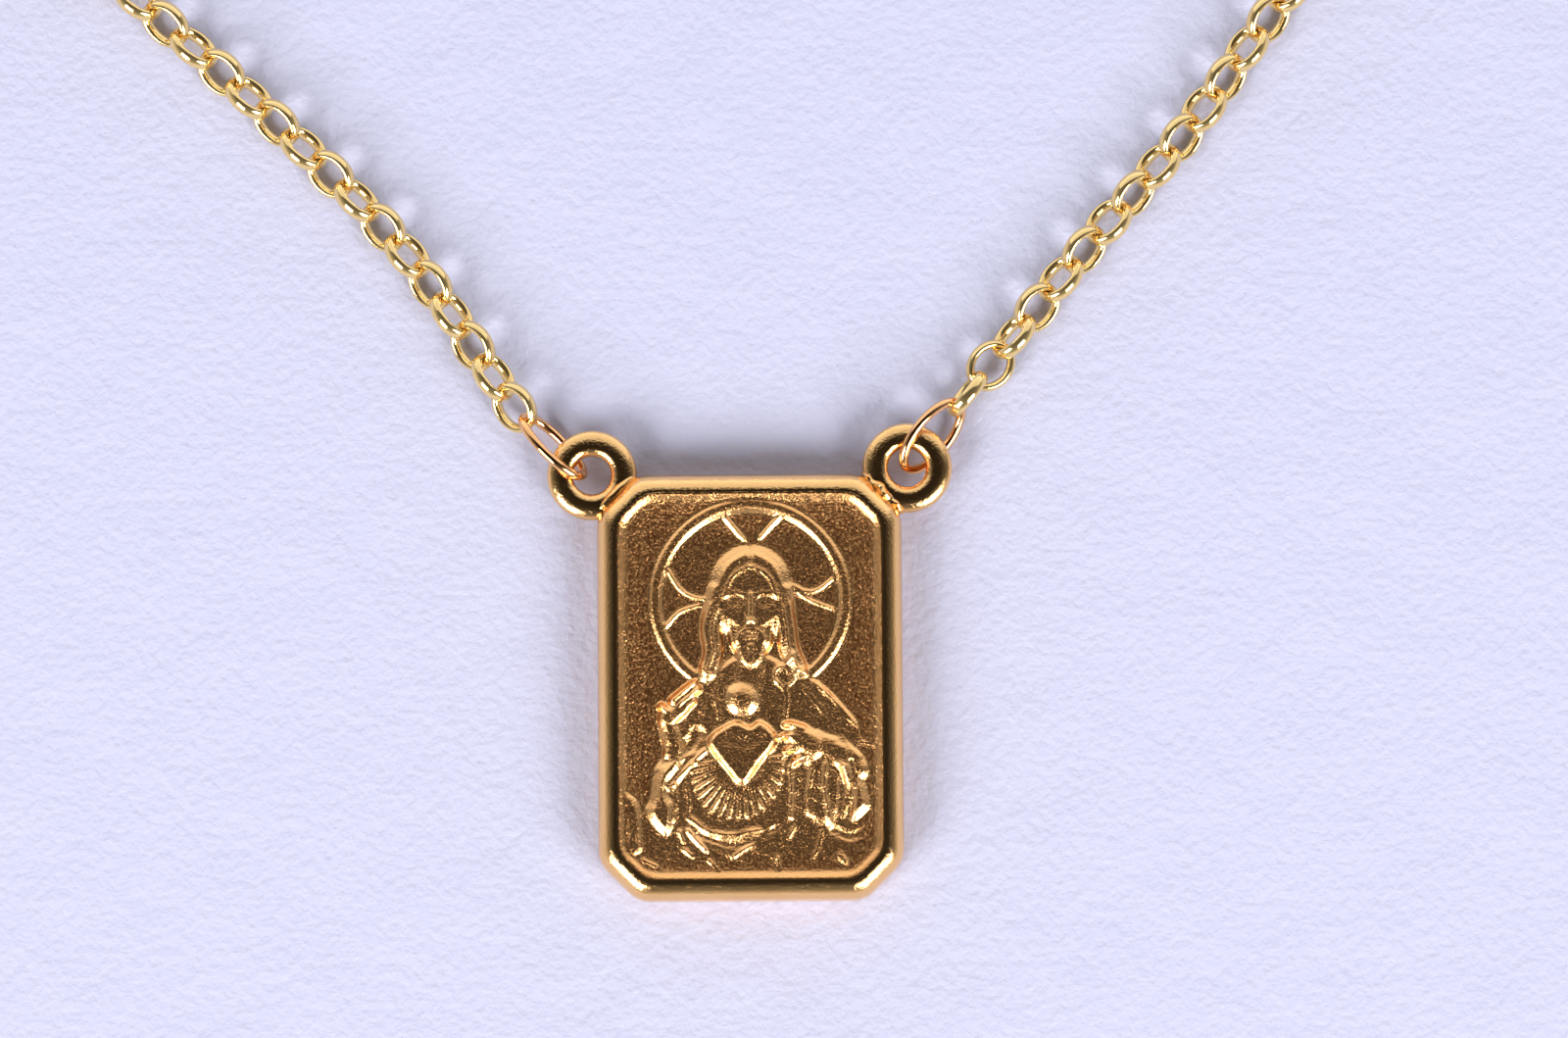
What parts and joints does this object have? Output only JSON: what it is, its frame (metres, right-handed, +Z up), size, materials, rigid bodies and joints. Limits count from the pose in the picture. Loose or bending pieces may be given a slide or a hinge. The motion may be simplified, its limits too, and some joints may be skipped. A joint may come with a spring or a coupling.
{
  "type": "religious medal pendant necklace",
  "caption": "Cut-corner tablet medal with a coved rim and a raised haloed bust, on a fine cable chain loop with a round clasp, lying flat.",
  "frame": {"origin": "middle of the medal's flat back face, which lies on the table", "axes": "+Z up out of the medal's face, +Y towards the medal's top edge and the clasp, +X to the viewer's right"},
  "size_m": [0.1347, 0.1775, 0.0019],
  "materials": {
    "medal_gold": "polished rim, sandblasted field",
    "wire_gold": "polished"
  },
  "bodies": {
    "root": {"medal": "medal_gold", "jump_ring_left": "wire_gold", "jump_ring_right": "wire_gold", "chain_left": "wire_gold", "chain_right": "wire_gold", "clasp": "wire_gold"}
  },
  "joints": []
}
